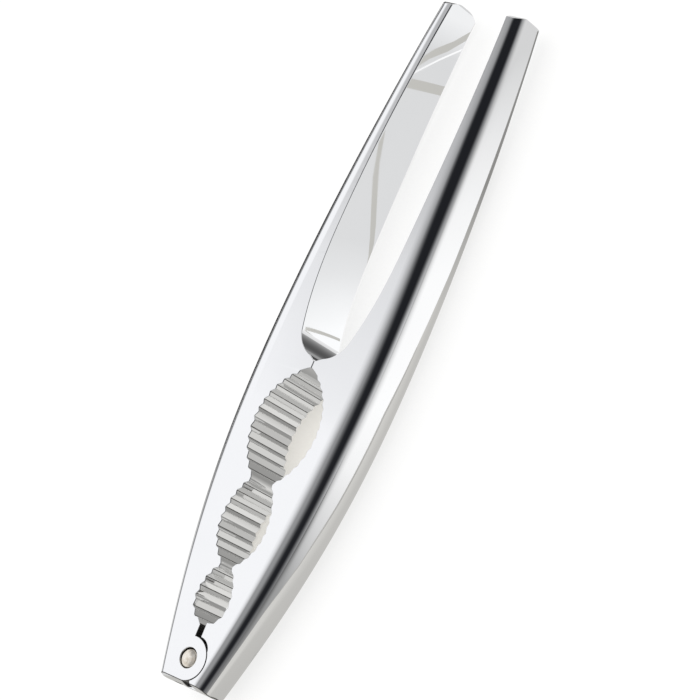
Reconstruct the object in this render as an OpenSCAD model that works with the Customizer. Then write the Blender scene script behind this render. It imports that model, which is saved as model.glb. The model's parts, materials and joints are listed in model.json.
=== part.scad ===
// Lever nutcracker: two die-cast arms that turn on one hinge pin.
// Between the arms lie three toothed openings for large, medium and small nuts,
// then a nib where the closed arms meet, then the gap between the two handles.
// The tool lies flat on its back: +Z is the pin axis, +Y runs from hinge to tips.
// Distances "from the pin" are measured along the length, tip side positive.

/* [Overall form] */
// Distance from the pin axis to the handle tips
tip_reach = 188.5; // [180:0.5:195]
// Distance from the pin axis to the very end behind it
tail_reach = 7; // [6.8:0.1:7.6]
// How far the end behind the pin bulges between its front and back edges
tail_bulge = 1; // [0.8:0.1:1.4]
// How far the tips bulge between their front and back edges
tip_bulge = 1.7; // [1:0.1:2.5]
// Half-widths that pull the outline's curve, evenly spaced from tail to tips
outline_pulls = [8.5, 19.5, 26.5, 20, 19.5, 14.5]; // [8:0.5:30]
// Width over which each outer side rolls from the front face to the back face
roll_w = 4.6; // [3.6:0.1:4.8]

/* [Thickness] */
// Thickness of the flat middle stretch that the tool rests on
mid_t = 17.3; // [16:0.1:18]
// Thickness at the tail
tail_t = 11.7; // [11:0.1:12.4]
// Thickness at the handle tips
tip_t = 12.1; // [11:0.1:13]
// Start of the flat stretch, from the pin
land_from = 72; // [65:1:78]
// End of the flat stretch, from the pin
land_to = 112; // [106:1:120]

/* [Nut openings] */
// Widest place of the small, medium and large opening, from the pin
belly_at = [15.8, 37, 64.5]; // [15:0.1:66]
// Half-width of each opening at its widest place, to the roots of the teeth
belly_hw = [6, 8.1, 11.1]; // [5.5:0.1:11.4]
// Narrow places before, between and after the openings, from the pin
neck_at = [9.4, 25.7, 49.2, 81.3]; // [9:0.1:82]
// Half-width at each narrow place
neck_hw = [0.9, 2, 3.8, 0.05]; // [0.05:0.05:4.5]
// Pitch of the teeth along the opening's edge
tooth_pitch = 2.75; // [2.2:0.05:3.2]
// Depth of the teeth
tooth_depth = 0.75; // [0.4:0.05:0.9]
// How far along its pitch each tooth peaks, from the hinge side
tooth_peak = 0.6; // [0.4:0.05:0.7]
// Plain stretch without teeth next to the nib
plain_run = 3.4; // [2.5:0.1:5]

/* [Handle gap] */
// Width of the hairline between the closed arms at the nib
nib_gap = 0.1; // [0.08:0.01:0.2]
// End of the nib on the handle side, from the pin
nib_end = 83.2; // [82.5:0.1:83.8]
// Half-width of the gap where the round throat runs into the handles
throat_hw = 8.3; // [8:0.1:8.6]
// The same place, from the pin
throat_at = 90.4; // [90:0.1:92]
// Widest half-width of the gap between the handles
grip_hw = 12; // [11:0.1:12.4]
// The widest place, from the pin
grip_at = 129; // [125:1:135]
// Half-width of the gap at the tips
tip_hw = 9.2; // [8.5:0.1:9.6]

/* [Hinge] */
// Radius of the hinge pin
pin_r = 2.5; // [2.2:0.05:2.6]
// Running clearance between the pin and the tongue, on the radius
pin_play = 0.05; // [0.03:0.01:0.08]
// Radius of the dished rim around each end of the pin
rim_r = 3; // [2.8:0.05:3.2]
// Radius of the two cheeks and of the tongue between them
boss_r = 6; // [5.8:0.05:6]
// Gap around a cheek or the tongue, on the radius
boss_gap = 0.3; // [0.25:0.05:0.4]
// Thickness of the tongue
tongue_t = 5; // [4.5:0.1:5.5]
// Gap between the tongue and each cheek
cheek_gap = 0.1; // [0.08:0.01:0.15]
// Width of the slot between the arms, next to the hinge
slot_w = 1.8; // [1.6:0.1:2]
// Sideways place of the slot's middle
slot_x = 0.4; // [0.2:0.1:0.5]
// Angle from the tail's middle to the stop face of the arm that covers the middle
stop_lap = 8; // [6:0.5:9]
// Angle through which the arms open until the stop faces meet
stop_turn = 24; // [20:0.5:26]

/* [Hidden] */

CHROME = [0.80, 0.81, 0.83];
STEEL = [0.64, 0.60, 0.55];

$fn = 96;
mid_z = mid_t / 2;                          // height of the middle plane
body_len = tip_reach + tail_reach;
pin_y = tail_reach - body_len / 2;          // the pin's place along the length
tail_edge = tail_bulge - tail_reach;        // front edge of the tail, from the pin
tip_edge = tip_reach - tip_bulge;           // front edge of the tips, from the pin
cut = 1;                                    // how far a cutting solid runs past a face
reach = 2 * tip_reach;                      // larger than any part
station_step = 5;                           // spacing of the cross-sections
roll_steps = 10;                            // facets in each rolled side
curve_steps = 12;                           // facets in each curved edge of the handle gap

// Bernstein sum: the value at t of the curve that the numbers in p pull
function choose(n, k) = k == 0 ? 1 : choose(n, k - 1) * (n - k + 1) / k;
function pulled(p, t, k = 0) =
    k == len(p) ? 0
    : choose(len(p) - 1, k) * pow(t, k) * pow(1 - t, len(p) - 1 - k) * p[k] + pulled(p, t, k + 1);

// Half-width of the outline at distance y from the pin
function outline_hw(y) = pulled(outline_pulls, (y + tail_reach) / body_len);

// Half-thickness at distance y from the pin: flat in the middle, tapered to both ends
tail_pull = 0.36;                           // how early the tail's taper swells
tip_pull = 0.44;                            // how early the tips' taper swells
function taper(end_t, pull) =
    [end_t, end_t + pull * (mid_t - end_t), mid_t, mid_t] / 2;
function half_t(y) =
    y < tail_edge ? tail_t / 2
    : y < land_from ? pulled(taper(tail_t, tail_pull), (y - tail_edge) / (land_from - tail_edge))
    : y < land_to ? mid_z
    : y < tip_edge ? pulled(taper(tip_t, tip_pull), (tip_edge - y) / (tip_edge - land_to))
    : tip_t / 2;

// One cross-section: flat front and back with an elliptic roll on both sides
function section(y) =
    let (flat_hw = outline_hw(y) - roll_w, h = half_t(y))
    [for (side = [1, -1], i = [0 : roll_steps])
        let (a = side * (180 * i / roll_steps - 90))
        [side * (flat_hw + roll_w * cos(a)), y, h * sin(a)]];

// Radius of an end face that bulges by rise over the thickness t
function bulge_r(t, rise) = (pow(t / 2, 2) + pow(rise, 2)) / (2 * rise);

// Full round of an end face, with its axis across the tool at distance y from the pin
module end_round(y, r) {
    translate([0, y, 0]) rotate([0, 90, 0]) cylinder(r = r, h = reach, center = true);
}

// Outer form of the closed pair of arms, as one lofted solid with bulging ends
module blank() {
    stations = [for (i = [0 : floor(body_len / station_step)]) i * station_step - tail_reach];
    rings = concat([for (y = stations) if (y < tip_reach - cut) section(y)], [section(tip_reach)]);
    n = 2 * (roll_steps + 1);
    last = len(rings) - 1;
    sides = [for (j = [0 : last - 1], i = [0 : n - 1])
        [j * n + i, j * n + (i + 1) % n, (j + 1) * n + (i + 1) % n, (j + 1) * n + i]];
    caps = [[for (i = [n - 1 : -1 : 0]) i], [for (i = [0 : n - 1]) last * n + i]];
    tail_r = bulge_r(tail_t, tail_bulge);
    tip_r = bulge_r(tip_t, tip_bulge);
    intersection() {
        polyhedron([for (r = rings) each r], concat(sides, caps), convexity = 4);
        union() {
            translate([-reach / 2, tail_edge, -mid_t]) cube([reach, tip_edge - tail_edge, 2 * mid_t]);
            end_round(tail_r - tail_reach, tail_r);
            end_round(tip_reach - tip_r, tip_r);
        }
    }
}

// One toothed arc of an opening's edge, from its widest place to a neck
function toothed_arc(yb, wb, yn, wn, plain) =
    let (rise = abs(yn - yb), r = (pow(rise, 2) + pow(wb - wn, 2)) / (2 * (wb - wn)))
    let (whole = asin(rise / r), run = whole - plain / r * 180 / PI)
    let (teeth = round(run * PI / 180 * r / tooth_pitch), dir = sign(yn - yb))
    let (peak = dir > 0 ? tooth_peak : 1 - tooth_peak)
    concat(
        [for (i = [0 : 2 * teeth])
            let (a = run * (floor(i / 2) + (i % 2) * peak) / teeth, rr = r - (i % 2) * tooth_depth)
            [wb - r + rr * cos(a), yb + dir * rr * sin(a)]],
        plain > 0 ? [[wn, yn]] : []);

function reversed(p) = [for (i = [len(p) - 1 : -1 : 0]) p[i]];

// Toothed edge of the three openings, from the slot to the nib
function jaw_edge() =
    [for (k = [0 : 2]) each concat(
        reversed(toothed_arc(belly_at[k], belly_hw[k], neck_at[k], neck_hw[k], 0)),
        toothed_arc(belly_at[k], belly_hw[k], neck_at[k + 1], neck_hw[k + 1], k == 2 ? plain_run : 0))];

// Edge of the throat and of the handle, from the nib to the tip
grip_slope = atan(3 * (grip_hw - throat_hw) / (grip_at - throat_at));
throat_r = throat_hw / cos(grip_slope);
nib_half_angle = 15;                        // the throat's arc starts this far from its lowest point
function grip_edge() = concat(
    [[nib_gap / 2, nib_end]],
    [for (i = [0 : curve_steps])
        let (a = nib_half_angle + (90 - grip_slope - nib_half_angle) * i / curve_steps)
        [throat_r * sin(a), throat_at + throat_r * (sin(grip_slope) - cos(a))]],
    [for (i = [1 : curve_steps])
        let (t = i / curve_steps)
        [grip_hw - (grip_hw - throat_hw) * pow(1 - t, 3), throat_at + t * (grip_at - throat_at)]],
    [for (i = [1 : curve_steps])
        let (t = i / curve_steps)
        [grip_hw - (grip_hw - tip_hw) * t * t, grip_at + t * (tip_reach - grip_at)]],
    [[tip_hw, tip_reach + cut]]);

// Everything between the closed arms: slot, openings, nib hairline, throat and handle gap
module between_arms() {
    edge = concat(jaw_edge(), grip_edge());
    slot_end = neck_at[0] + 0.2;
    polygon(concat(edge, reversed([for (p = edge) [-p[0], p[1]]])));
    translate([slot_x - slot_w / 2, boss_r / 2]) square([slot_w, slot_end - boss_r / 2]);
}

// Point at distance reach from the pin, at angle a from the tail's middle line
function tail_ray(a) = reach * [sin(a), -cos(a)];

// Half of the plan on one side (1 right, -1 left), its tail bounded at angle a
module half_plan(side, a) {
    polygon([[0, 0], [0, reach], [side * reach, reach], [side * reach, -reach], tail_ray(a)]);
}

// Solid slab of the plan between two heights above and below the middle plane
module slab(from_z, to_z) {
    translate([0, 0, from_z]) linear_extrude(to_z - from_z) children();
}

module disc(r, from_z, to_z) {
    translate([0, 0, from_z]) cylinder(r = r, h = to_z - from_z);
}

seat_z = tongue_t / 2 + cheek_gap;          // inner face of each cheek
wedge_a = -(stop_lap + stop_turn);          // stop face of the left arm beside the tongue

// From the working position at the pin to the part's own frame
module place() {
    translate([0, pin_y, mid_z]) children();
}

// Arm with the two cheeks that hold the pin
module left_arm() {
    color(CHROME) place() difference() {
        intersection() {
            blank();
            union() {
                slab(-mid_t, mid_t) difference() {
                    half_plan(-1, wedge_a);
                    between_arms();
                }
                for (side = [0, 1]) mirror([0, 0, side]) {
                    disc(boss_r, seat_z, mid_t);
                    slab(seat_z, mid_t) polygon([[0, 0], tail_ray(wedge_a), tail_ray(stop_lap)]);
                }
            }
        }
        disc(boss_r + boss_gap, -seat_z, seat_z);
        disc(pin_r, -mid_t, mid_t);
        for (side = [0, 1]) mirror([0, 0, side]) pin_dish();
    }
}

// Dished rim that each end of the pin sits in
module pin_dish() {
    top = half_t(0);
    translate([0, 0, top - (rim_r - pin_r)])
        cylinder(r1 = pin_r, r2 = rim_r + cut, h = rim_r - pin_r + cut);
}

// Arm with the tongue that turns between the cheeks
module right_arm() {
    color(CHROME) place() difference() {
        intersection() {
            blank();
            union() {
                slab(-mid_t, mid_t) difference() {
                    half_plan(1, stop_lap + stop_turn);
                    between_arms();
                }
                disc(boss_r, -tongue_t / 2, tongue_t / 2);
                slab(-tongue_t / 2, tongue_t / 2)
                    polygon([[0, 0], tail_ray(-stop_lap), tail_ray(stop_lap + stop_turn)]);
            }
        }
        for (side = [0, 1]) mirror([0, 0, side])
            disc(boss_r + boss_gap, tongue_t / 2, mid_t);
        disc(pin_r + pin_play, -mid_t, mid_t);
    }
}

// Riveted pin with a low dome on both ends
module hinge_pin() {
    dome = 0.45;                            // height of each dome
    edge_z = half_t(0) - (rim_r - pin_r);   // where the straight shank ends
    dome_r = (pow(pin_r, 2) + pow(dome, 2)) / (2 * dome);
    steps = 8;
    half = [for (i = [0 : steps])
        let (x = pin_r * (1 - i / steps))
        [x, edge_z + sqrt(pow(dome_r, 2) - pow(x, 2)) - dome_r + dome]];
    color(STEEL) place() rotate_extrude()
        polygon(concat(reversed([for (p = half) [p[0], -p[1]]]), half));
}

left_arm();
right_arm();
hinge_pin();
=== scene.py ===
import json
import math

import bmesh
import bpy
import numpy as np
from mathutils import Matrix, Vector, noise


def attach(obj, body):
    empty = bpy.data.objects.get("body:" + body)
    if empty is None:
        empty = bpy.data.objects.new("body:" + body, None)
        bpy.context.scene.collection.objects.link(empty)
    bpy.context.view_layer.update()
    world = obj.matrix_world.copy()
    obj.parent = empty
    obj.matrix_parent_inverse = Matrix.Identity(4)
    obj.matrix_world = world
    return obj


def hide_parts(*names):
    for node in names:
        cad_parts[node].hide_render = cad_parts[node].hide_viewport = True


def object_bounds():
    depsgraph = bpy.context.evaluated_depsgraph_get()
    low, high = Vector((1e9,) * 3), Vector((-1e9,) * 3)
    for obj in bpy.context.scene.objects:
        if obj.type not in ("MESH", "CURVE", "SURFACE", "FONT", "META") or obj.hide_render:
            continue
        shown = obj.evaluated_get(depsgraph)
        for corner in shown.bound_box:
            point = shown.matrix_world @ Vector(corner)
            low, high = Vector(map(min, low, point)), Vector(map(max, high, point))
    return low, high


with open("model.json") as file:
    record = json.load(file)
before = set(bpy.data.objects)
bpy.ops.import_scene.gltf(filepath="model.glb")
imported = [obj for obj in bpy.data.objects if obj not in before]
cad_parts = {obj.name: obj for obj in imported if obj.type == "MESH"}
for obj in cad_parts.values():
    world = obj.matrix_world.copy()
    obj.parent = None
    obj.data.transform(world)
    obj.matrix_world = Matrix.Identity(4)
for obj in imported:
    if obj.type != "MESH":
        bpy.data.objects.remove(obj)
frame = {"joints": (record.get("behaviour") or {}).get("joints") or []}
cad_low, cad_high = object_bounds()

# ----------------------------------------------------------------------------------------
# Dimensions, in millimetres. Distances along the tool are measured from the hinge pin,
# heights from the middle plane, and x to the right arm, as in the CAD model.
# ----------------------------------------------------------------------------------------
MM = 0.001
PIN = Vector(frame["joints"][0]["pos_m"])
TAIL_REACH = (PIN.y - cad_low.y) / MM
TIP_REACH = (cad_high.y - PIN.y) / MM
MID_T = (cad_high.z - cad_low.z) / MM
BODY_LEN = TIP_REACH + TAIL_REACH

OUTLINE_PULLS = (8.5, 19.5, 26.5, 20, 19.5, 14.5)   # half-widths that pull the outline's curve
ROLL_W = 6.2                 # width over which each outer side rolls over, in the middle
ROLL_THIN = 1.2              # how strongly the roll narrows with the thickness
ROLL_POWER = 2.5             # 2 is an ellipse; more starts the roll gently and squares it
TAIL_T, TIP_T = 11.7, 12.1   # thickness at both ends
TAIL_PULL, TIP_PULL = 0.36, 0.44        # more keeps each end's taper thick for longer
LAND_FROM, LAND_TO = 72, 112            # the part of even thickness
TAIL_BULGE, TIP_BULGE = 1.0, 1.7        # how far the end faces bulge out, halfway up
TAIL_EDGE = TAIL_BULGE - TAIL_REACH     # where the faces end, along the tool
TIP_EDGE = TIP_REACH - TIP_BULGE

BELLY_AT, BELLY_HW = (15.8, 37, 64.5), (6, 8.1, 11.1)                # widest places of the openings
NECK_AT, NECK_HW = (9.4, 25.7, 49.2, 81.3), (0.9, 2, 3.8, 0.05)     # necks before, between and after
TOOTH_PITCH, TOOTH_PEAK = 2.75, 0.6     # peak: its place in each pitch, going towards the tips
TOOTH_DEPTH = {"left_arm": 0.75, "right_arm": 0.45}   # the right arm's teeth are worn
TOOTH_WEAR = 0.16            # flat worn on either side of each crest and left in each root
PLAIN_RUN, PLAIN_POINTS = 3.4, 5     # toothless length before the nib, and points along it
NIB_GAP, NIB_END = 0.1, 83.2
THROAT_HW, THROAT_AT = 8.3, 90.4
GRIP_HW, GRIP_AT, TIP_HW = 12, 129, 9.2     # half the room between the handles, and at the tips
NIB_HALF_ANGLE = math.radians(15)
TIP_CORNER = 0.8             # plan radius of the tips' inner corners
TIP_ROUND, TAIL_ROUND = 2.5, 1.0     # plan radii of the outer corners

PIN_R, PIN_PLAY = 2.5, 0.05  # play in the right arm's bore
PIN_FIT = 0.02               # how far the pin and the left arm's bore stand off PIN_R
DISH_R, DISH_DEPTH = 2.82, 0.75     # dish round each end of the pin
DISH_STEPS = ((-0.2, 0.5), (-0.04, 0.22), (0, 0.08), (0.12, -0.1))   # beyond DISH_R, below the face
DOME, DOME_EDGE = 0.34, 0.36   # height of the pin's domes, and how far under the face they start
DOME_RINGS, DOME_SPREAD = 15, 0.9
PEEN, PEEN_SCALE = 0.05, 0.55   # height of the hammer marks on them, and how close they are
SHOULDER = ((0, 0.35), (0.01, 0.12))   # inset and depth of the pin's side under a dome's edge
BOSS_R, BOSS_GAP = 6.0, 0.3
SEAM, SEAM_WIDE = 0.12, 0.6  # gap seen round the cheek, and its widest place near the slot
SEAM_FROM, SEAM_TO = 32, 80  # where it is wide, in degrees from +X
SEAM_BLUNT = 0.7             # under 1 widens it faster
TONGUE_T, CHEEK_GAP = 5.0, 0.1
SLOT_W, SLOT_X, SLOT_STEP = 1.8, 0.4, 0.1   # slot before the first opening: width, middle and last step
STOP_LAP, STOP_TURN = math.radians(8), math.radians(24)   # the tails' overlap, and room to turn
FAR = 20                     # further out than the tail's corners
PAST_TIP = 1                 # how far plan outlines run on past the tips
CLEAR = 14                   # higher than any face


# ----------------------------------------------------------------------------------------
# The outer form
# ----------------------------------------------------------------------------------------
def pulled(pulls, t):
    """Value at t of the curve that the numbers in pulls pull."""
    n = len(pulls) - 1
    return sum(math.comb(n, k) * t**k * (1 - t) ** (n - k) * p for k, p in enumerate(pulls))


def taper(end_t, pull):
    """Pulls on the half-thickness from an end to the part of even thickness."""
    return [half / 2 for half in (end_t, end_t + pull * (MID_T - end_t), MID_T, MID_T)]


def outline_hw(y):
    """Half-width of the outline at distance y from the pin."""
    return pulled(OUTLINE_PULLS, (y + TAIL_REACH) / BODY_LEN)


def half_t(y):
    """Half-thickness at distance y from the pin."""
    y = np.clip(np.asarray(y, float), TAIL_EDGE, TIP_EDGE)
    tail = pulled(taper(TAIL_T, TAIL_PULL), (y - TAIL_EDGE) / (LAND_FROM - TAIL_EDGE))
    tip = pulled(taper(TIP_T, TIP_PULL), (TIP_EDGE - y) / (TIP_EDGE - LAND_TO))
    return np.where(y < LAND_FROM, tail, np.where(y < LAND_TO, MID_T / 2, tip))


def roll_w(y):
    """Width of the rolled side at distance y from the pin."""
    return ROLL_W * (2 * half_t(y) / MID_T) ** ROLL_THIN


def share(value, low, high):
    """How far value is on its way from low to high, from 0 to 1."""
    return np.clip((value - low) / (high - low), 0, 1)


def slope(f, y, step=0.5):
    """Slope of f at y, from a point on either side."""
    return (f(y + step) - f(y - step)) / (2 * step)


def form_normals(p):
    """Outward normals of the rolled form at points p, flat faces included."""
    x, y, z = p.T
    h, w = half_t(y), roll_w(y)
    outwards = share(np.abs(x), outline_hw(y) - w, outline_hw(y))
    u = outwards ** (ROLL_POWER - 1)
    v = share(np.abs(z), 0, h) ** (ROLL_POWER - 1)
    lean = (slope(outline_hw, y) - (1 - outwards) * slope(roll_w, y)) / w
    n = np.stack([np.sign(x) * u / w, -u * lean - v * np.abs(z) * slope(half_t, y) / h**2,
                  np.sign(z) * v / h], axis=1)
    return n / np.maximum(np.linalg.norm(n, axis=1), 1e-9)[:, None]


def bulge_y(z, t, rise):
    """How far a bulging end face stands out at height z, from its front edge."""
    r = ((t / 2) ** 2 + rise**2) / (2 * rise)
    return math.sqrt(r * r - min(abs(z), t / 2) ** 2) - (r - rise)


# ----------------------------------------------------------------------------------------
# Mesh helpers. Everything is built in millimetres round the pin and placed at the end.
# ----------------------------------------------------------------------------------------
def solid(name, verts, faces):
    """Closed mesh object with all faces turned outwards."""
    mesh = bpy.data.meshes.new(name)
    mesh.from_pydata([tuple(map(float, v)) for v in verts], [], faces)
    bm = bmesh.new()
    bm.from_mesh(mesh)
    bmesh.ops.remove_doubles(bm, verts=bm.verts, dist=1e-5)
    bmesh.ops.recalc_face_normals(bm, faces=bm.faces)
    bm.to_mesh(mesh)
    bm.free()
    obj = bpy.data.objects.new(name, mesh)
    bpy.context.scene.collection.objects.link(obj)
    return obj


def carve(target, tool, operation):
    """Applies one exact solid operation to target and removes the tool."""
    modifier = target.modifiers.new("carve", "BOOLEAN")
    modifier.solver = "MANIFOLD"
    modifier.operation = operation
    modifier.object = tool
    graph = bpy.context.evaluated_depsgraph_get()
    mesh = bpy.data.meshes.new_from_object(target.evaluated_get(graph))
    target.modifiers.clear()
    target.data = mesh
    bpy.data.objects.remove(tool)


def skin(rings):
    """Faces of the wall through rings of equally many points."""
    n = len(rings[0])
    return [(j * n + i, j * n + (i + 1) % n, (j + 1) * n + (i + 1) % n, (j + 1) * n + i)
            for j in range(len(rings) - 1) for i in range(n)]


def loft(name, rings):
    """Closed solid through rings of equally many points, capped at both ends."""
    n = len(rings[0])
    last = (len(rings) - 1) * n
    caps = [tuple(range(n)), tuple(last + i for i in range(n))]
    return solid(name, [p for ring in rings for p in ring], skin(rings) + caps)


SHARPEST = 0.3               # keeps the mitre of a sharp corner short


def offset(path, distance):
    """Closed path moved outwards by distance at each point, with mitred corners."""
    p = np.asarray(path, float)
    edge = np.roll(p, -1, axis=0) - p
    out = np.stack([edge[:, 1], -edge[:, 0]], axis=1) / np.linalg.norm(edge, axis=1)[:, None]
    before = np.roll(out, 1, axis=0)
    area = np.sum(p[:, 0] * np.roll(p[:, 1], -1) - np.roll(p[:, 0], -1) * p[:, 1])
    bend = np.maximum(1 + np.sum(out * before, axis=1), SHARPEST)[:, None]
    return p + np.sign(area) * np.broadcast_to(distance, len(p))[:, None] * (out + before) / bend


# A worn edge: inset and depth of its points as shares of its radius, and a run on past the face
RIM_STEPS = ((0, 1), (0.18, 0.43), (0.58, 0.094))
RIM_END, RIM_RUN_IN, RIM_RUN_UP = 0.69, 0.36, 0.3
RIM, RIM_THROAT, RIM_TIP = 0.24, 0.19, 0.44     # radius along the openings, the throat and at the tips
RIM_POCKET = 0.14                               # and round the hinge pocket
THROAT_RIM_AT, TIP_RIM_AT, TIP_RIM_POWER = (84, 94), (120, 180), 1.5


def rimmed_rings(path, rim, side, grow):
    """Rings from the wall over the worn edge at one face; grow is 1 for a hole, -1 for a body."""
    y = np.asarray(path, float)[:, 1]
    rings = []
    for inset, depth in RIM_STEPS:
        ring = offset(path, grow * inset * rim)
        rings.append(np.column_stack([ring, side * (half_t(y) - depth * rim)]))
    last = offset(path, grow * (RIM_END * rim + RIM_RUN_IN))
    rings.append(np.column_stack([last, side * (half_t(y) + RIM_RUN_UP)]))
    rings.append(np.column_stack([last, np.full(len(y), side * CLEAR)]))
    return rings


def rim_at(y):
    """Radius of the worn edge along the openings and the handles."""
    y = np.asarray(y, float)
    at_throat = share(y, *THROAT_RIM_AT)
    at_tip = share(y, *TIP_RIM_AT) ** TIP_RIM_POWER
    return RIM + (RIM_THROAT - RIM) * at_throat + (RIM_TIP - RIM_THROAT) * at_tip


def thick_prism(name, path):
    """Solid of the whole thickness in plan outline path, with worn edges at both faces."""
    rim = rim_at(np.asarray(path, float)[:, 1])
    back = rimmed_rings(path, rim, -1, -1)[::-1]
    return loft(name, back + rimmed_rings(path, rim, 1, -1))


def arc(centre, r, start, end, step=3):
    """Points on an arc between two angles in degrees, measured from +X."""
    n = max(2, int(abs(end - start) / step) + 1)
    angles = np.radians(np.linspace(start, end, n))
    return [(centre[0] + r * math.cos(a), centre[1] + r * math.sin(a)) for a in angles]


def tail_ray(angle):
    """Point past the tail, at an angle from its middle."""
    return (FAR * math.sin(angle), -FAR * math.cos(angle))


# ----------------------------------------------------------------------------------------
# Plan outlines
# ----------------------------------------------------------------------------------------
# The second kind of surface is rough plate painted dark as shade, in the hinge recesses and the tooth
# roots.
PLATE, DULL_SHADED, CREST = 0, 1, 2     # kinds of surface on an arm, in the order of its materials


def toothed_arc(belly_y, belly_x, neck_y, neck_x, depth, plain=0):
    """One toothed edge of an opening, from its widest place to a neck, and the marks of its teeth.

    A mark is the x and y of a tooth's crest or of the root between two, for x > 0, and its kind.
    """
    rise = abs(neck_y - belly_y)
    r = (rise**2 + (belly_x - neck_x) ** 2) / (2 * (belly_x - neck_x))
    run = math.asin(rise / r) - plain / r
    teeth = round(run * r / TOOTH_PITCH)
    way = 1 if neck_y > belly_y else -1
    peak = TOOTH_PEAK if way > 0 else 1 - TOOTH_PEAK
    corners = []
    for i in range(2 * teeth + 1):
        a = run * (i // 2 + (i % 2) * peak) / teeth
        rr = r - (i % 2) * depth
        corners.append(np.array((belly_x - r + rr * math.cos(a), belly_y + way * rr * math.sin(a))))
    points, marks = [tuple(corners[0])], []
    for i, corner in list(enumerate(corners))[1:-1]:
        flat = [corner + TOOTH_WEAR * (other - corner) / np.linalg.norm(other - corner)
                for other in (corners[i - 1], corners[i + 1])]
        points += [tuple(p) for p in flat]
        # Each root is marked for painted shade, each crest for a painted highlight.
        marks.append((*(flat[0] + flat[1]) / 2, CREST if i % 2 else DULL_SHADED))
    points.append(tuple(corners[-1]))
    if plain:
        whole = math.asin(rise / r)
        for a in np.linspace(run, whole, PLAIN_POINTS)[1:]:
            points.append((belly_x - r + r * math.cos(a), belly_y + way * r * math.sin(a)))
    return points, marks


def jaw(depth):
    """Toothed edge of the three openings, from the slot to the nib, and the marks of its teeth."""
    edge, marks = [], []
    for k in range(3):
        below, marks_below = toothed_arc(BELLY_AT[k], BELLY_HW[k], NECK_AT[k], NECK_HW[k], depth)
        above, marks_above = toothed_arc(BELLY_AT[k], BELLY_HW[k], NECK_AT[k + 1], NECK_HW[k + 1],
                                         depth, PLAIN_RUN if k == 2 else 0)
        start = 1 if k else 0
        edge += below[::-1][start:] + above[1:]
        marks += marks_below + marks_above
    return edge, marks


def grip_edge(steps=40, corner_steps=7):
    """Edge of the throat and of the handle, from the nib to past the tip."""
    lean = math.atan(3 * (GRIP_HW - THROAT_HW) / (GRIP_AT - THROAT_AT))
    r = THROAT_HW / math.cos(lean)
    edge = [(NIB_GAP / 2, NIB_END)]
    for a in np.linspace(NIB_HALF_ANGLE, math.pi / 2 - lean, steps):
        edge.append((r * math.sin(a), THROAT_AT + r * (math.sin(lean) - math.cos(a))))
    for t in np.linspace(0, 1, steps)[1:]:
        edge.append((GRIP_HW - (GRIP_HW - THROAT_HW) * (1 - t) ** 3,
                     THROAT_AT + t * (GRIP_AT - THROAT_AT)))
    corner_y = TIP_REACH - TIP_CORNER
    for t in np.linspace(0, 1, steps)[1:]:
        y = GRIP_AT + t * (corner_y - GRIP_AT)
        edge.append((GRIP_HW - (GRIP_HW - TIP_HW) * ((y - GRIP_AT) / (TIP_REACH - GRIP_AT)) ** 2, y))
    x = edge[-1][0]
    for a in np.linspace(0, math.pi / 2, corner_steps)[1:]:
        edge.append((x + TIP_CORNER * (1 - math.cos(a)), corner_y + TIP_CORNER * math.sin(a)))
    edge.append((x + TIP_CORNER + PAST_TIP / 2, TIP_REACH + PAST_TIP))
    return edge


def inner_edge(slot_edge, boss_at, depth):
    """Inner edge of an arm, from the boss round the openings to the tip, for x > 0."""
    teeth = [p for p in jaw(depth)[0] if p[0] > slot_edge or p[1] > BELLY_AT[0]]
    return [(slot_edge, boss_at), (slot_edge, teeth[0][1] - SLOT_STEP)] + teeth + grip_edge()


def outer_edge():
    """Path outside the outline, from the tip to the tail, that rounds both corners, for x > 0."""
    tip_x = outline_hw(TIP_REACH - TIP_ROUND) - TIP_ROUND
    tail_x = outline_hw(TAIL_ROUND - TAIL_REACH) - TAIL_ROUND
    tip = arc((tip_x, TIP_REACH - TIP_ROUND), TIP_ROUND, 90, 0, step=7.5)
    tail = arc((tail_x, TAIL_ROUND - TAIL_REACH), TAIL_ROUND, 0, -90, step=15)
    beside = [(2 * FAR, tip[-1][1]), (2 * FAR, tail[0][1])]
    return [(tip_x, TIP_REACH + PAST_TIP)] + tip + beside + tail + [(tail_x, -FAR)]


def left_plan():
    """The left arm seen from the front: half the plan, the boss and the tail beside it."""
    slot_edge = SLOT_W / 2 - SLOT_X
    boss_top = math.degrees(math.acos(-slot_edge / BOSS_R))
    edge = inner_edge(slot_edge, math.sqrt(BOSS_R**2 - slot_edge**2), TOOTH_DEPTH["left_arm"])
    boss = arc((0, 0), BOSS_R, -90 + math.degrees(STOP_LAP), boss_top)
    return [tail_ray(STOP_LAP)] + boss[:-1] + [(-x, y) for x, y in edge + outer_edge()]


def right_plan():
    """The right arm in the middle plane: half the plan with the tongue round the pin."""
    slot_edge = SLOT_W / 2 + SLOT_X
    tongue_top = math.degrees(math.acos(slot_edge / BOSS_R))
    edge = inner_edge(slot_edge, math.sqrt(BOSS_R**2 - slot_edge**2), TOOTH_DEPTH["right_arm"])
    tongue = arc((0, 0), BOSS_R, 270 - math.degrees(STOP_LAP), tongue_top)
    return [tail_ray(-STOP_LAP)] + tongue[:-1] + edge + outer_edge()


def hinge_pocket(r, from_angle, to_angle):
    """Room for the other arm's boss, and for its tail between two angles from the tail's middle."""
    start = 270 + math.degrees(from_angle)
    end = -90 + math.degrees(to_angle)
    return [tail_ray(from_angle)] + arc((0, 0), r, start, end) + [tail_ray(to_angle)]


def seam_pocket(from_angle, to_angle):
    """The right arm's pocket: a hairline round the cheek that widens once, beside the slot."""
    path = hinge_pocket(BOSS_R + SEAM, from_angle, to_angle)
    for i, (x, y) in enumerate(path[1:-1], 1):
        across = (math.degrees(math.atan2(y, x)) - SEAM_FROM) / (SEAM_TO - SEAM_FROM)
        if 0 < across < 1:
            r = BOSS_R + SEAM + (SEAM_WIDE - SEAM) * math.sin(math.pi * across) ** SEAM_BLUNT
            path[i] = (x * r / (BOSS_R + SEAM), y * r / (BOSS_R + SEAM))
    return path


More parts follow.
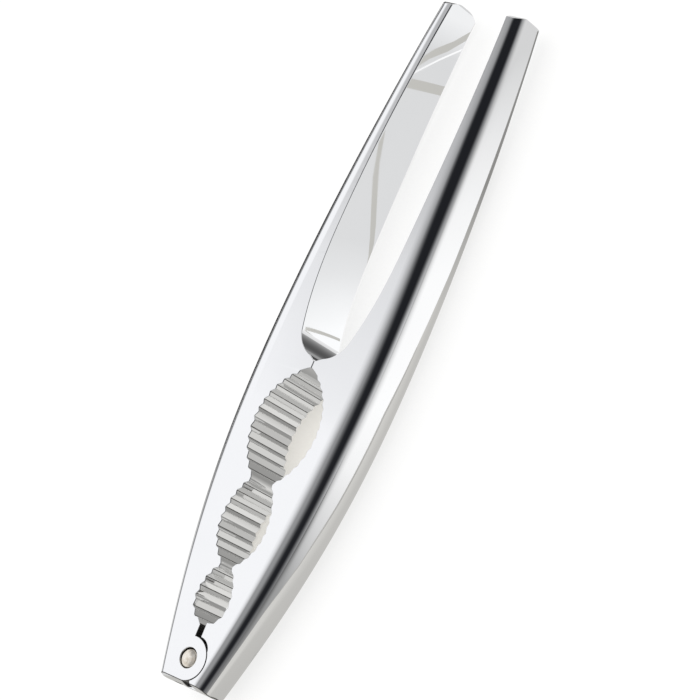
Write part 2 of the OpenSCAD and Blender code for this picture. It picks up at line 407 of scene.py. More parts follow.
# ----------------------------------------------------------------------------------------
# The arms
# ----------------------------------------------------------------------------------------
ROLL_STEPS = 36              # facets in each rolled side
STATION = 1.0                # spacing of the cross-sections
END_RIM = 0.22               # worn edge round both end faces


def blank(name):
    """The closed pair's outer form as one solid with bulging ends."""
    angles = np.linspace(-math.pi / 2, math.pi / 2, ROLL_STEPS + 1)
    across = np.cos(angles).clip(0) ** (2 / ROLL_POWER)
    upright = np.sign(np.sin(angles)) * np.abs(np.sin(angles)) ** (2 / ROLL_POWER)
    count = int(BODY_LEN / STATION)

    def ring(way, inset):
        points = []
        for c, s in zip(across, upright):
            tail_y = TAIL_EDGE - bulge_y(s * TAIL_T / 2, TAIL_T, TAIL_BULGE)
            tip_y = TIP_EDGE + bulge_y(s * TIP_T / 2, TIP_T, TIP_BULGE)
            rim = END_RIM - inset
            y = tail_y + rim + way * (tip_y - tail_y - 2 * rim)
            x = outline_hw(y) - roll_w(y) * (1 - c)
            points.append((x - inset * c, y, (float(half_t(y)) - inset) * s))
        return points + [(-x, y, z) for x, y, z in reversed(points)]

    rings = [ring(0, END_RIM)] + [ring(j / count, 0) for j in range(count + 1)] + [ring(1, END_RIM)]
    n = len(rings[0])
    faces = skin(rings)
    for first in (0, (len(rings) - 1) * n):
        faces += [(first + i, first + i + 1, first + n - 2 - i, first + n - 1 - i)
                  for i in range(ROLL_STEPS)]
    return solid(name, [p for r in rings for p in r], faces)


def shaft(name, profile, steps=96):
    """Solid of revolution round the pin axis; profile is (radius, height) from bottom to top."""
    rings = [[(r * math.cos(a), r * math.sin(a), z)
              for a in (2 * math.pi * i / steps for i in range(steps))] for r, z in profile]
    return loft(name, rings)


def flat_prism(name, path, from_z, to_z):
    """Solid with plan outline path between two heights."""
    return loft(name, [[(x, y, z) for x, y in path] for z in (from_z, to_z)])


def left_arm():
    """The arm whose cheeks hold the pin on both sides of the other arm's tongue."""
    arm = blank("left_arm_cast")
    carve(arm, thick_prism("plan", left_plan()), "INTERSECT")
    seat = TONGUE_T / 2 + CHEEK_GAP
    room = hinge_pocket(BOSS_R + BOSS_GAP, -STOP_LAP - STOP_TURN, 2 * STOP_LAP)
    carve(arm, flat_prism("room", room, -seat, seat), "DIFFERENCE")
    top = float(half_t(0))
    dish = [(PIN_R + PIN_FIT, 0), (PIN_R + PIN_FIT, top - DISH_DEPTH)]
    dish += [(DISH_R + beyond, top - below) for beyond, below in DISH_STEPS]
    dish.append((dish[-1][0], CLEAR))
    carve(arm, shaft("dish", [(r, -z) for r, z in dish[:0:-1]] + dish[1:]), "DIFFERENCE")
    return arm


def right_arm():
    """The arm with the tongue round the pin, recessed at both faces for the other arm's cheeks."""
    arm = blank("right_arm_cast")
    carve(arm, thick_prism("plan", right_plan()), "INTERSECT")
    room = seam_pocket(-2 * STOP_LAP, STOP_LAP + STOP_TURN)
    for side in (1, -1):
        rim = np.full(len(room), RIM_POCKET)
        wall = [np.column_stack([np.asarray(room), np.full(len(room), side * TONGUE_T / 2)])]
        carve(arm, loft("room", wall + rimmed_rings(room, rim, side, 1)), "DIFFERENCE")
    bore = PIN_R + PIN_PLAY
    carve(arm, shaft("bore", [(bore, -CLEAR), (bore, CLEAR)]), "DIFFERENCE")
    return arm


# ----------------------------------------------------------------------------------------
# Shading normals, from the form itself, so that reflections run clean over every facet
# ----------------------------------------------------------------------------------------
ON_FORM = 0.006              # a face this near to the rolled form, in shares of its size, is part of it
ALIKE, LEVEL, SMOOTH = 0.9, 0.95, 0.8    # cosines of the angles between: the form and its faces, a flat
                                         # step and the tool's face, and faces of one smooth wall
END_ALONG, END_ACROSS = 0.6, 0.1         # an end face's normal: at least this much y, at most this much x
PAST_EDGE = 0.02             # end faces lie further out than the front edges by this
RECESS_FROM, RECESS_TO = 3.3, 9.6   # unpolished faces, painted dark as shade: further from the pin, and up to this y
POCKET_REACH = 7.75          # the hinge pocket's edge is nearer to the pin than this


def numbers(items, name, kind=float, width=1):
    """One property of every item of a mesh as an array."""
    values = np.empty(len(items) * width, kind)
    items.foreach_get(name, values)
    return values.reshape(-1, width) if width > 1 else values


def sorted_faces(centre, normal):
    """Which faces lie on the rolled form, which are the hinge's flat steps and which are walls."""
    x, y, z = centre.T
    u = np.clip((np.abs(x) - outline_hw(y) + roll_w(y)) / roll_w(y), 0, None)
    level = (u**ROLL_POWER + (np.abs(z) / half_t(y)) ** ROLL_POWER) ** (1 / ROLL_POWER)
    agrees = np.sum(normal * form_normals(centre), axis=1) > ALIKE
    form = (np.abs(level - 1) < ON_FORM) & agrees
    step = ~form & (np.abs(normal[:, 2]) > LEVEL)
    outside = (y < TAIL_EDGE - PAST_EDGE) | (y > TIP_EDGE + PAST_EDGE)
    end = ~form & outside & (np.abs(normal[:, 1]) > END_ALONG) & (np.abs(normal[:, 0]) < END_ACROSS)
    return form, step, ~form & ~step & ~end


def rim_near(x, y):
    """Radius of the worn edge over a wall at x, y, the right arm's hinge pocket included."""
    in_pocket = math.hypot(x, y) < POCKET_REACH and x > 0
    return RIM_POCKET if in_pocket else float(rim_at(y))


def wall_normals(point, sides, areas):
    """Normals of the wall faces that meet at a point, turned upwards along the worn edge."""
    px, py, pz = point
    rim = rim_near(px, py)
    top = float(half_t(py))
    lift = min(max((abs(pz) - (top - rim)) / rim, 0), 1)
    face_up = form_normals(np.array([[px, py, math.copysign(top, pz)]]))[0]
    normals = []
    for own in sides:
        side = sum(other * area for other, area in zip(sides, areas) if other @ own > SMOOTH)
        n = side / np.linalg.norm(side) * math.sqrt(1 - lift * lift) + face_up * lift
        normals.append(n / np.linalg.norm(n))
    return normals


def finish_surface(mesh, marks):
    """Shading normals and kinds of surface for an arm's mesh."""
    corner_vert = numbers(mesh.loops, "vertex_index", int)
    co = numbers(mesh.vertices, "co", width=3)
    centre = numbers(mesh.polygons, "center", width=3)
    normal = numbers(mesh.polygons, "normal", width=3)
    area = numbers(mesh.polygons, "area")
    corner_face = np.repeat(np.arange(len(area)), numbers(mesh.polygons, "loop_total", int))
    form, step, wall = sorted_faces(centre, normal)

    out = normal[corner_face].copy()
    on_form = form[corner_face]
    out[on_form] = form_normals(co[corner_vert[on_form]])
    flat = normal * [1, 1, 0]
    flat /= np.maximum(np.linalg.norm(flat, axis=1), 1e-9)[:, None]
    corners_at = {}
    for c in np.nonzero(wall[corner_face])[0]:
        corners_at.setdefault(corner_vert[c], []).append(c)
    for vert, corners in corners_at.items():
        faces = corner_face[corners]
        out[corners] = wall_normals(co[vert], flat[faces], area[faces])
    mesh.polygons.foreach_set("use_smooth", [True] * len(area))
    mesh.normals_split_custom_set([tuple(n) for n in out])

    x, y = centre[:, 0], centre[:, 1]
    kind = np.full(len(area), PLATE)
    # Painted shade: the walls and steps round the hinge are painted dark.
    kind[(wall | step) & (np.hypot(x, y) > RECESS_FROM) & (y < RECESS_TO)] = DULL_SHADED
    # Painted shade goes into the tooth roots, and a painted highlight onto the crests.
    for at_x, at_y, mark in marks:
        kind[wall & (np.hypot(np.abs(x) - at_x, y - at_y) < TOOTH_WEAR / 2)] = mark
    mesh.polygons.foreach_set("material_index", kind)


def place(obj):
    """Moves a mesh from millimetres round the pin to its place in the frame."""
    obj.data.transform(Matrix.Translation(PIN) @ Matrix.Scale(MM, 4))
    obj.data.update()


# ----------------------------------------------------------------------------------------
# The pin
# ----------------------------------------------------------------------------------------
def hinge_pin():
    """Rivet with a low, hand-peened dome on both ends."""
    edge_z = float(half_t(0)) - DOME_EDGE
    head_r = PIN_R - PIN_FIT
    ball_r = (head_r**2 + DOME**2) / (2 * DOME)
    half = [(head_r, 0)] + [(head_r - inset, edge_z - below) for inset, below in SHOULDER]
    for i in range(1, DOME_RINGS):
        r = head_r * (1 - i / DOME_RINGS) ** DOME_SPREAD
        half.append((r, edge_z + math.sqrt(ball_r**2 - r**2) - ball_r + DOME))
    pin = shaft("hinge_rivet", [(r, -z) for r, z in half[:0:-1]] + half)
    for v in pin.data.vertices:
        if abs(v.co.z) > edge_z - PEEN:
            spot = Vector((v.co.x * PEEN_SCALE, v.co.y * PEEN_SCALE, math.copysign(3, v.co.z)))
            v.co.z += math.copysign(PEEN * noise.noise(spot), v.co.z)
    pin.data.polygons.foreach_set("use_smooth", [True] * len(pin.data.polygons))
    return pin


# ----------------------------------------------------------------------------------------
# Materials
# ----------------------------------------------------------------------------------------
def new_material(name):
    """New material, its nodes and links, and its surface shader."""
    material = bpy.data.materials.new(name)
    material.use_nodes = True
    nodes = material.node_tree.nodes
    return material, nodes, material.node_tree.links, nodes["Principled BSDF"]


def noisy(nodes, links, scale, detail, stretch=(1, 1, 1)):
    """Noise over the object, drawn out along the axes where stretch is under 1."""
    coords = nodes.new("ShaderNodeTexCoord")
    mapping = nodes.new("ShaderNodeMapping")
    mapping.inputs["Scale"].default_value = stretch
    links.new(coords.outputs["Object"], mapping.inputs["Vector"])
    pattern = nodes.new("ShaderNodeTexNoise")
    pattern.inputs["Scale"].default_value = scale
    pattern.inputs["Detail"].default_value = detail
    links.new(mapping.outputs["Vector"], pattern.inputs["Vector"])
    return pattern.outputs["Fac"]


def tinted(nodes, links, value, dark, light, span=(0, 1)):
    """Colour that runs from dark to light as value crosses the span."""
    ramp = nodes.new("ShaderNodeValToRGB")
    for stop, at, colour in zip(ramp.color_ramp.elements, span, (dark, light)):
        stop.position = at
        stop.color = (*colour, 1)
    links.new(value, ramp.inputs["Fac"])
    return ramp.outputs["Color"]


def bumped(nodes, links, height, strength, distance, under=None):
    """Normal bumped by a height, over another bumped normal if one is given."""
    bump = nodes.new("ShaderNodeBump")
    bump.inputs["Strength"].default_value = strength
    bump.inputs["Distance"].default_value = distance
    links.new(height, bump.inputs["Height"])
    if under:
        links.new(under, bump.inputs["Normal"])
    return bump.outputs["Normal"]


def feed(links, socket, value):
    """Sets a socket to a fixed value, or links it to another node's output."""
    if isinstance(value, bpy.types.NodeSocket):
        links.new(value, socket)
    else:
        socket.default_value = value


def ranged(nodes, links, value, low, high, low_to, high_to):
    """Value moved from one range to another, and kept inside it."""
    node = nodes.new("ShaderNodeMapRange")
    for name, amount in (("Value", value), ("From Min", low), ("From Max", high),
                         ("To Min", low_to), ("To Max", high_to)):
        feed(links, node.inputs[name], amount)
    return node.outputs["Result"]


def metal(name, pattern, dark, light, rough, span=(0, 1), rough_span=(0.3, 0.7)):
    """Metal whose colour and roughness vary with a noise; pattern is what noisy takes.

    The spans are the noise values between which the colour and the roughness change.
    """
    material, nodes, links, shader = new_material(name)
    shader.inputs["Metallic"].default_value = 1
    value = noisy(nodes, links, *pattern)
    links.new(tinted(nodes, links, value, dark, light, span), shader.inputs["Base Color"])
    links.new(ranged(nodes, links, value, *rough_span, *rough), shader.inputs["Roughness"])
    return material, nodes, links, shader


def chrome():
    """Polished plate over a casting: soft waves, faint polishing lines, slight haze."""
    material, nodes, links, shader = metal(
        "arm_chrome", pattern=(55, 5), dark=(0.90, 0.905, 0.915), light=(0.945, 0.947, 0.95),
        rough=(0.035, 0.085), rough_span=(0.35, 0.75))
    waves = noisy(nodes, links, 90, 1, (1, 0.5, 1))
    lines = noisy(nodes, links, 900, 3, (1, 0.06, 1))
    soft = bumped(nodes, links, waves, 0.12, 0.00012)
    links.new(bumped(nodes, links, lines, 0.05, 0.00001, soft), shader.inputs["Normal"])
    return material


def shaded_recess_plate():
    """Plate that no wheel could reach: rough, and painted dark as shade."""
    return metal("recess_painted_shade", pattern=(600, 4), dark=(0.09, 0.087, 0.083),
                 light=(0.40, 0.395, 0.385), rough=(0.6, 0.4))[0]


def scuffed_crest_highlight():
    """Scuffed metal on top of the teeth: rougher than the plate, and painted brighter as a highlight."""
    return metal("tooth_crest", pattern=(900, 3, (1, 1, 0.2)), dark=(0.93, 0.93, 0.92),
                 light=(1, 1, 1), rough=(0.4, 0.6))[0]


def nickel():
    """Plain worn steel with turned scratches."""
    material, nodes, links, shader = metal(
        "pin_steel", pattern=(700, 4), dark=(0.72, 0.64, 0.53), light=(0.98, 0.94, 0.87),
        rough=(0.3, 0.16), span=(0.3, 0.7))
    scratch = noisy(nodes, links, 2600, 2, (1, 0.25, 1))
    links.new(bumped(nodes, links, scratch, 0.25, 0.00003), shader.inputs["Normal"])
    return material


# ----------------------------------------------------------------------------------------
# Stage: pale floor, one soft lamp and the surroundings that the chrome reflects
# ----------------------------------------------------------------------------------------
WHITE, TAN, GREY_TAN, COOL = (1, 1, 1), (1.0, 0.985, 0.945), (1.0, 0.985, 0.93), (0.985, 0.99, 1.0)
FAINT_BLUE = (0, 0.0008, 0.0035)


def grey(level):
    """Linear light of a grey level from 0 to 255."""
    v = level / 255
    return v / 12.92 if v <= 0.04045 else ((v + 0.055) / 1.055) ** 2.4


def banded(nodes, links, value, bands):
    """Light levels at places along value, with straight runs between them."""
    low, high = bands[0][0], bands[-1][0]
    ramp = nodes.new("ShaderNodeValToRGB")
    stops = ramp.color_ramp.elements
    for i, (at, level) in enumerate(bands):
        stop = stops[0] if i == 0 else stops[len(stops) - 1]
        if 0 < i < len(bands) - 1:
            stop = stops.new((at - low) / (high - low))
        stop.color = (grey(level), grey(level), grey(level), 1)
    links.new(ranged(nodes, links, value, low, high, 0, 1), ramp.inputs["Fac"])
    return ramp.outputs["Color"]


def mixed(nodes, links, amount, a, b, blend="MIX"):
    """Blend of colour a with the given amount of b; fixed colours are given as tuples."""
    node = nodes.new("ShaderNodeMix")
    node.data_type = "RGBA"
    node.blend_type = blend
    feed(links, node.inputs[0], amount)
    for socket, colour in ((node.inputs[6], a), (node.inputs[7], b)):
        feed(links, socket, (*colour, 1) if isinstance(colour, tuple) else colour)
    return node.outputs[2]


def multiplied(nodes, links, a, b):
    """Product of two colours."""
    return mixed(nodes, links, 1, a, b, "MULTIPLY")


def maths(nodes, links, operation, a, b=0):
    """One sum on fixed values or node outputs."""
    node = nodes.new("ShaderNodeMath")
    node.operation = operation
    feed(links, node.inputs[0], a)
    feed(links, node.inputs[1], b)
    return node.outputs["Value"]


def product(nodes, links, first, *others):
    """Product of fixed values and node outputs."""
    total = first
    for value in others:
        total = maths(nodes, links, "MULTIPLY", total, value)
    return total


# ---- The floor, and sheets of light under it -------------------------------------------
WELL = (-12, 12, 5, 84)      # under the openings, where no sheet of light lies: x from, to, y from, to
PATCH = (-12, 0, 24, 84)     # the part of the floor that shows through them
FLOOR_REACH, GLOW_REACH = 6000, 3000


def box(x0, x1, y0, y1):
    """Corners of a rectangle."""
    return [(x0, y0), (x1, y0), (x1, y1), (x0, y1)]


def around(hole, reach):
    """The plane without a rectangular hole, as four quads."""
    outer = box(-reach, reach, -reach, reach)
    inner = box(*hole)
    return [[outer[i], outer[(i + 1) % 4], inner[(i + 1) % 4], inner[i]] for i in range(4)]


def ribbon(path, width):
    """Polygon of a band along a path, with its width measured along the tool."""
    return [(x, y - width / 2) for x, y in path] + [(x, y + width / 2) for x, y in reversed(path)]


def sheet(name, polygons, depth):
    """Flat object under the tool, from polygons of (x, y) corners in millimetres round the pin."""
    mesh = bpy.data.meshes.new(name)
    points = [(x * MM, y * MM + PIN.y, -depth * MM) for corners in polygons for x, y in corners]
    faces = []
    for corners in polygons:
        start = sum(len(face) for face in faces)
        faces.append(tuple(range(start, start + len(corners))))
    mesh.from_pydata(points, [], faces)
    obj = bpy.data.objects.new(name, mesh)
    bpy.context.scene.collection.objects.link(obj)
    return obj


def lit_paper(name, polygons, paper, glow):
    """White sheet lit from above and, softly, through itself."""
    obj = sheet(name, polygons, 0)
    material, nodes, links, shader = new_material(name + "_paper")
    shader.inputs["Base Color"].default_value = (*paper, 1)
    shader.inputs["Roughness"].default_value = 0.9
    shader.inputs["Specular IOR Level"].default_value = 0.1
    shader.inputs["Emission Color"].default_value = (*glow, 1)
    shader.inputs["Emission Strength"].default_value = 1
    obj.data.materials.append(material)
    obj.visible_glossy = False


def floor():
    """A light table with a duller patch that shows through the openings."""
    lit_paper("floor", around(PATCH, FLOOR_REACH), paper=(0.28, 0.279, 0.277), glow=(0.72, 0.72, 0.718))
    lit_paper("floor_patch", [box(*PATCH)], paper=(0.6, 0.585, 0.55), glow=(0.42, 0.41, 0.385))


def glow_sheet(name, polygons, depth, along, across, tint):
    """A sheet that only the chrome sees; its light varies along the tool and beside it.

    Sheets nearer the tool hide the ones under them, so depth, in millimetres, puts them in order.
    """
    obj = sheet(name, polygons, depth)
    material = bpy.data.materials.new(name)
    material.use_nodes = True
    nodes, links = material.node_tree.nodes, material.node_tree.links
    nodes.clear()
    coords = nodes.new("ShaderNodeTexCoord")
    split = nodes.new("ShaderNodeSeparateXYZ")
    links.new(coords.outputs["Object"], split.inputs["Vector"])
    y = banded(nodes, links, split.outputs["Y"], [(v * MM + PIN.y, level) for v, level in along])
    x = banded(nodes, links, split.outputs["X"], [(v * MM, level) for v, level in across])
    glow = nodes.new("ShaderNodeEmission")
    links.new(multiplied(nodes, links, multiplied(nodes, links, y, x), tint), glow.inputs["Color"])
    links.new(glow.outputs["Emission"], nodes.new("ShaderNodeOutputMaterial").inputs["Surface"])
    obj.data.materials.append(material)
    obj.visible_camera = False
    obj.visible_diffuse = False
    obj.visible_shadow = False
    return obj


# Places are in millimetres from the pin. Along the tool they have grey levels, and beside it
# shares of 255 that dim those.
EVENLY = ((-100, 255), (100, 255))
SHEETS_FROM, SHEETS_TO = -40, 190    # reach of the sheets along the tool

FLOOR_ALONG = ((-10, 140), (20, 165), (40, 218), (60, 252), (80, 262), (120, 260), (140, 253), (160, 241),
               (185, 218))
FLOOR_ACROSS = ((0, 255), (50, 255), (62, 248), (80, 237), (120, 224), (300, 205), (1000, 190))

MAT_ALONG = ((0, 214), (110, 214), (128, 196), (145, 160), (190, 156))
MAT_ACROSS = ((14, 232), (22, 236), (27, 255))
MAT_LEFT, MAT_RIGHT = -60, 45
MAT_EDGE = ((45, -10), (38, 10), (32, 20), (28.5, 30), (27.6, 50), (28.2, 78), (26, 98), (22.6, 120),
            (18.7, 160), (16.5, 190))
MAT_LINE, MAT_LINE_TO = 1, 100       # width of the darker line along the mat's edge, and its end
MAT_LINE_ALONG = ((0, 178), (90, 184), (100, 200))

LEFT_DARK = ((-400, -40), (-16, -40), (-22, 10), (-29, 60), (-29, 95), (-24, 150), (-19, 200), (-400, 200))
LEFT_DARK_ALONG = ((-40, 215), (20, 215), (60, 110), (90, 70), (200, 70))

TIP_EDGE_GLOW = ((14.3, 148), (15, 160), (15.2, 170), (14.9, 180), (14.5, 190))
TIP_ALONG = ((148, 235), (165, 258), (190, 262))

# Between the handles: paths of the reflected bands, each with its width
GAP_HW = 12.6
GAP_ALONG = ((84, 262), (97, 262), (104, 252), (112, 238), (121, 228), (176, 226), (186, 250))
GAP_TINT = (0.99, 0.995, 1.0)
GAP_BANDS = (
    (((-12.4, 113), (-11.2, 119.3), (-9, 124.7), (-5, 132.7), (-1, 140.6), (2.6, 149.8)), 4),
    (((-11, 187), (-8, 184.5), (-3.5, 178.8), (1, 175), (4.5, 170.5)), 3.2),
    (((-11, 167), (4, 165.4)), 2.8),
    (((-8.5, 93.6), (2.4, 100.4)), 0.8),
)
BAND_ALONG = ((84, 200), (190, 200))
GAP_LINE = (((-9, 180.6), (-2, 174), (4, 168)), 0.8)
GAP_LINE_ALONG = ((84, 262), (190, 262))

# Sheets that stand across the throat, nearest the nib first: place along the tool, and levels beside it
THROAT_SHEETS = ((89.2, ((-7.9, 170), (-7.4, 140), (-6.9, 110), (-6.4, 72), (-5.6, 72))),
                 (90.1, ((-8.2, 245), (-7.1, 222), (-6.3, 185))))


def reflected_table():
    """Everything under and beside the tool that shows in its chrome."""
    x0, x1, y0, y1 = WELL
    glow_sheet("floor_glow", around(WELL, GLOW_REACH), 0.6, FLOOR_ALONG, FLOOR_ACROSS, WHITE)
    mat = [[*MAT_EDGE, (x1, SHEETS_TO), (x1, SHEETS_FROM), (MAT_RIGHT, SHEETS_FROM)],
           box(MAT_LEFT, x0, SHEETS_FROM, SHEETS_TO), box(x0, x1, SHEETS_FROM, y0),
           box(x0, x1, y1, SHEETS_TO)]
    glow_sheet("mat_glow", mat, 0.5, MAT_ALONG, MAT_ACROSS, TAN)
    edge = [p for p in MAT_EDGE if p[1] < MAT_LINE_TO]
    line = edge + [(x - MAT_LINE, y) for x, y in reversed(edge)]
    glow_sheet("mat_line", [line], 0.4, MAT_LINE_ALONG, EVENLY, TAN)
    tips = [*TIP_EDGE_GLOW, (MAT_LEFT, SHEETS_TO), (MAT_LEFT, TIP_EDGE_GLOW[0][1])]
    glow_sheet("tip_glow", [tips], 0.4, TIP_ALONG, EVENLY, WHITE)
    glow_sheet("left_dark", [LEFT_DARK], 0.3, LEFT_DARK_ALONG, EVENLY, WHITE)
    glow_sheet("gap_glow", [box(-GAP_HW, GAP_HW, y1, SHEETS_TO)], 0.3, GAP_ALONG, EVENLY, GAP_TINT)
    glow_sheet("gap_line", [ribbon(*GAP_LINE)], 0.2, GAP_LINE_ALONG, EVENLY, WHITE)
    glow_sheet("gap_bands", [ribbon(*band) for band in GAP_BANDS], 0.1, BAND_ALONG, EVENLY, GREY_TAN)
    for y, levels in THROAT_SHEETS:
        base = [(levels[0][0], y), (levels[-1][0], y)]
        throat = glow_sheet("throat_dark", [base + base[::-1]], 0, EVENLY, levels, WHITE)
        for vert in throat.data.vertices[2:]:
            vert.co.z = cad_high.z


# ---- The sky ---------------------------------------------------------------------------
# A direction's lean is in degrees from straight up towards the right arm's side, and its
# "along" is its y: -1 is towards the hinge, 1 is towards the tips. Levels are grey levels.
FALL = ((-35, 152), (-25, 145), (-10, 95), (0, 60), (5, 42), (10, 35), (20, 33))
FALL_AT = 36                         # lean at which FALL starts, straight across the tool
FALL_LEAN, FALL_CURVE = 45, 450      # how it turns along the tool, evenly and with the cube
FALL_SPAN = (-0.1, 0.45)             # part of "along" over which it turns
RISE = ((60, 0), (65, 48), (70, 79), (75, 119), (80, 162), (85, 196), (90, 214))
RISE_ALONG = ((-0.3, 110), (-0.16, 142), (-0.03, 180), (0.09, 196), (0.18, 192), (0.25, 163), (0.31, 138),
              (0.36, 142), (0.42, 156))
RISE_PEAK = 196                      # level at which RISE is at its full strength
LEFT = ((-90, 80), (-85, 160), (-78, 255))
LEFT_WIDER_FROM, LEFT_WIDENS = 0.29, 400     # past this along, the left edge's shade turns inwards
PANEL_LIGHT = (1.0, 1.0, 1.01)
PANEL_FROM, PANEL_FULL = (22, 0), 40         # leans to the left where the white panel starts and is full
PANEL_FROM_SPAN = (-0.2, -0.05)              # along, between the two starts
PANEL_TIP_FADE = (0.07, 0.34)                # along, where it fades out above
PANEL_FAR, PANEL_FAR_LEAN = (0.3, 0), (-54, -41)   # further along where it leans more
PANEL_EDGE = (-84, -70)                      # lean where it fades in from the horizon
PANEL_HINGE_FADE = (-0.7, -0.4)              # along, where it fades in from the hinge
ENDS = ((0, 120), (0.15, 175), (0.5, 205), (1, 235))    # towards both ends, by height
ENDS_FROM, ENDS_FULL = 0.48, 0.66            # along, either way
# Levels that the walls of the openings mirror, by compass direction in degrees from +X
BELOW = ((-180, 185), (-145, 200), (-105, 160), (-85, 190), (-65, 235), (-50, 225), (-30, 185), (5, 225),
         (25, 210), (50, 150), (100, 160), (130, 230), (150, 235), (180, 185))
BELOW_FROM, BELOW_FULL = -0.02, -0.1         # heights where they take over from the sky
BACKDROP = (0.95, 0.95, 0.95)


def in_degrees(nodes, links, a, b):
    """Angle whose tangent is a over b."""
    return product(nodes, links, maths(nodes, links, "ARCTAN2", a, b), 180 / math.pi)


def right_shade(nodes, links, lean, along):
    """Level over the right side: it falls to a dark streak and rises again near the horizon."""
    turn = ranged(nodes, links, along, *FALL_SPAN, *FALL_SPAN)
    curve = product(nodes, links, turn, turn, turn, FALL_CURVE)
    shift = maths(nodes, links, "ADD", product(nodes, links, turn, FALL_LEAN), curve)
    past_start = maths(nodes, links, "SUBTRACT", lean, FALL_AT)
    falling = banded(nodes, links, maths(nodes, links, "ADD", past_start, shift), FALL)
    strength = maths(nodes, links, "DIVIDE", banded(nodes, links, along, RISE_ALONG), grey(RISE_PEAK))
    rising = product(nodes, links, banded(nodes, links, lean, RISE), strength)
    return maths(nodes, links, "MAXIMUM", falling, rising)


def left_turned(nodes, links, lean, along):
    """The lean, turned near the tips so that the shade at the left edge widens there."""
    past = maths(nodes, links, "MAXIMUM", maths(nodes, links, "SUBTRACT", along, LEFT_WIDER_FROM), 0)
    return maths(nodes, links, "SUBTRACT", lean, product(nodes, links, past, LEFT_WIDENS))


def white_panel(nodes, links, lean, turned, along):
    """Amount of the white panel over the left side, from 0 to 1."""
    start = ranged(nodes, links, along, *PANEL_FROM_SPAN, *PANEL_FROM)
    inner = ranged(nodes, links, product(nodes, links, lean, -1), start, PANEL_FULL, 0, 1)
    far = ranged(nodes, links, lean, *PANEL_FAR_LEAN, *PANEL_FAR)
    tips = ranged(nodes, links, maths(nodes, links, "SUBTRACT", along, far), *PANEL_TIP_FADE, 1, 0)
    edge = ranged(nodes, links, turned, *PANEL_EDGE, 0, 1)
    return product(nodes, links, inner, tips, edge, ranged(nodes, links, along, *PANEL_HINGE_FADE, 0, 1))


def surroundings():
    """Sky that only the chrome sees, by direction; everything else sees the plain backdrop."""
    world = bpy.data.worlds.new("studio")
    bpy.context.scene.world = world
    world.use_nodes = True
    nodes, links = world.node_tree.nodes, world.node_tree.links
    coords = nodes.new("ShaderNodeTexCoord")
    split = nodes.new("ShaderNodeSeparateXYZ")
    links.new(coords.outputs["Generated"], split.inputs["Vector"])
    side, along, up = split.outputs["X"], split.outputs["Y"], split.outputs["Z"]

    lean = in_degrees(nodes, links, side, up)
    turned = left_turned(nodes, links, lean, along)
    shade = right_shade(nodes, links, lean, along)
    level = product(nodes, links, shade, banded(nodes, links, turned, LEFT))
    sky = mixed(nodes, links, 1, level, FAINT_BLUE, "ADD")
    sky = mixed(nodes, links, white_panel(nodes, links, lean, turned, along), sky, PANEL_LIGHT)
    at_ends = ranged(nodes, links, maths(nodes, links, "ABSOLUTE", along), ENDS_FROM, ENDS_FULL, 0, 1)
    sky = mixed(nodes, links, at_ends, sky, banded(nodes, links, up, ENDS))
    below = banded(nodes, links, in_degrees(nodes, links, along, side), BELOW)
    is_below = ranged(nodes, links, up, BELOW_FROM, BELOW_FULL, 0, 1)
    sky = mixed(nodes, links, is_below, sky, multiplied(nodes, links, below, TAN))
    ray = nodes.new("ShaderNodeLightPath").outputs
    plain = maths(nodes, links, "MAXIMUM", ray["Is Camera Ray"], ray["Is Diffuse Ray"])
    seen = mixed(nodes, links, plain, multiplied(nodes, links, sky, COOL), BACKDROP)
    links.new(seen, nodes["Background"].inputs["Color"])


# ---- Lamp and camera -------------------------------------------------------------------
LAMP_AT, LAMP_SIZE, LAMP_WATTS = (-0.25, 0.05, 1.3), (1.0, 1.2), 6


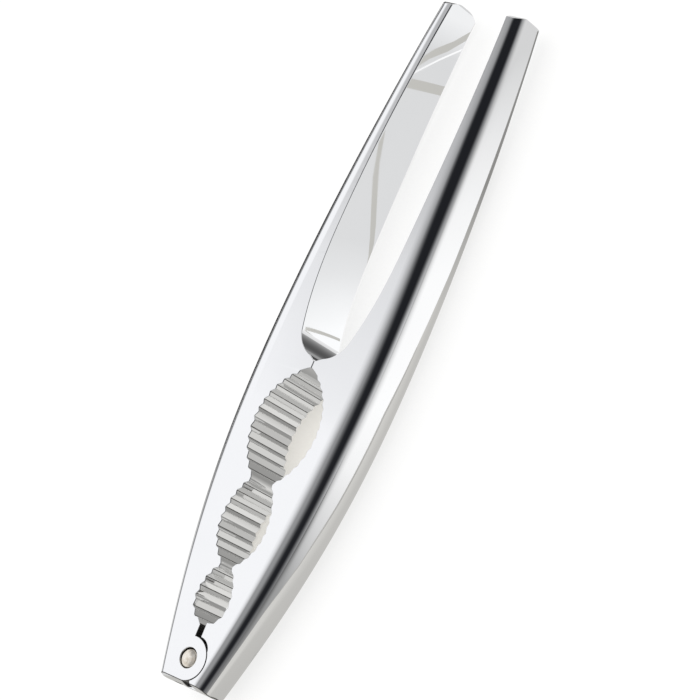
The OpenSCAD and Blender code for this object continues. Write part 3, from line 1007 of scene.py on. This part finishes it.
def lamp():
    """A large soft lamp high over the tool; the chrome mirrors the sky in its place."""
    light = bpy.data.lights.new("overhead", "AREA")
    light.shape = "RECTANGLE"
    light.size, light.size_y = LAMP_SIZE
    light.energy = LAMP_WATTS
    obj = bpy.data.objects.new("overhead", light)
    obj.location = LAMP_AT
    obj.rotation_euler = (-Vector(LAMP_AT)).to_track_quat("-Z", "Y").to_euler()
    bpy.context.scene.collection.objects.link(obj)
    obj.visible_glossy = False


# The camera looks at the middle of the tool from its right, far above.
CAMERA_DISTANCE = 0.7468
CAMERA_AIM = (2.3, -0.5, 0)           # from the middle of the closed tool, in millimetres
CAMERA_ELEVATION = 49.2
CAMERA_AZIMUTH = 79.46                # 0 looks along +Y, 90 along -X
CAMERA_ROLL = -57.88
CAMERA_LENS, CAMERA_SENSOR = 146.6, 36


def camera():
    """A long lens that frames the whole tool."""
    data = bpy.data.cameras.new("camera")
    data.lens = CAMERA_LENS
    data.sensor_width = CAMERA_SENSOR
    data.clip_start = 0.01
    obj = bpy.data.objects.new("camera", data)
    az, el = math.radians(CAMERA_AZIMUTH), math.radians(CAMERA_ELEVATION)
    back = Vector((math.sin(az) * math.cos(el), -math.cos(az) * math.cos(el), math.sin(el)))
    aim = (cad_low + cad_high) / 2 + MM * Vector(CAMERA_AIM)
    obj.location = aim + CAMERA_DISTANCE * back
    turn = (-back).to_track_quat("-Z", "Y").to_matrix() @ Matrix.Rotation(math.radians(CAMERA_ROLL), 3, "Z")
    obj.rotation_euler = turn.to_euler()
    bpy.context.scene.collection.objects.link(obj)
    bpy.context.scene.camera = obj


# ----------------------------------------------------------------------------------------
# The whole scene
# ----------------------------------------------------------------------------------------
def finish_arm(arm, node, body, materials):
    """Gives an arm its surface and place, and lets it stand for its CAD node."""
    arm.data.materials.clear()
    for material in materials:
        arm.data.materials.append(material)
    finish_surface(arm.data, jaw(TOOTH_DEPTH[node])[1])
    place(arm)
    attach(arm, body)
    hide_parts(node)


scene = bpy.context.scene
scene.view_settings.view_transform = "Standard"
scene.view_settings.look = "None"

# The recess material is painted shade, and the crest material a painted highlight.
arm_materials = (chrome(), shaded_recess_plate(), scuffed_crest_highlight())    # in the order of PLATE, DULL_SHADED and CREST
finish_arm(left_arm(), "left_arm", "left_lever", arm_materials)
finish_arm(right_arm(), "right_arm", "right_lever", arm_materials)
rivet = hinge_pin()
place(rivet)
rivet.data.materials.append(nickel())
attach(rivet, "left_lever")
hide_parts("hinge_pin")

floor()
reflected_table()
surroundings()
lamp()
camera()
